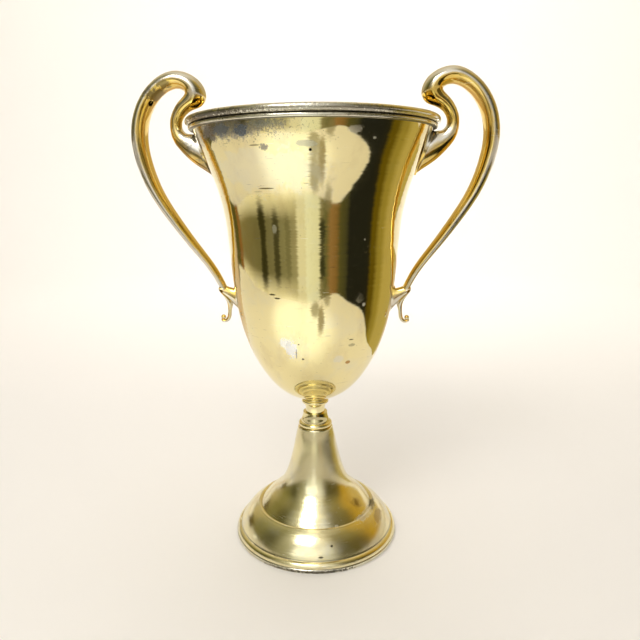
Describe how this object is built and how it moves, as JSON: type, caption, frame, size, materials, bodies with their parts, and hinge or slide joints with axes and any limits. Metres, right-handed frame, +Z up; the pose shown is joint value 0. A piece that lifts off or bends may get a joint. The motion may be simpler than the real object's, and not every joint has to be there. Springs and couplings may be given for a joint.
{
  "type": "two-handled trophy cup",
  "caption": "Tall two-handled loving cup with a flared bowl, beaded rim, S-scroll handles and a bell-shaped foot, given as a bowling prize.",
  "frame": {"origin": "centre of the face that the foot rests on", "axes": "+Z up the cup's axis, +X through the right handle, -Y the front"},
  "size_m": [0.246, 0.1676, 0.3321],
  "materials": {
    "gilt_plate": "polished pale gold plate on spun brass, with fine turning lines, scratches and tarnish",
    "gilt_handle": "polished pale gold plate on struck brass, worn to silver grey on the outer faces",
    "plated_edge": "plate worn thin on the edges, with grey tarnish and pits",
    "steel_fixings": "plain turned steel"
  },
  "bodies": {
    "root": {"bowl": "gilt_plate", "rim_moulding": "plated_edge", "neck": "gilt_plate", "ferrule": "gilt_plate", "foot_shell": "gilt_plate", "foot_wire": "plated_edge", "tie_stud": "steel_fixings", "flat_washer": "steel_fixings", "lock_washer": "steel_fixings", "hex_nut": "steel_fixings", "right_handle_inner_half": "gilt_handle", "right_handle_vented_half": "gilt_handle", "right_upper_pad": "gilt_handle", "right_lower_pad": "gilt_handle", "right_lower_boss": "gilt_handle", "right_tail_scroll": "gilt_handle", "left_handle_inner_half": "gilt_handle", "left_handle_vented_half": "gilt_handle", "left_upper_pad": "gilt_handle", "left_lower_pad": "gilt_handle", "left_lower_boss": "gilt_handle", "left_tail_scroll": "gilt_handle"}
  },
  "joints": []
}
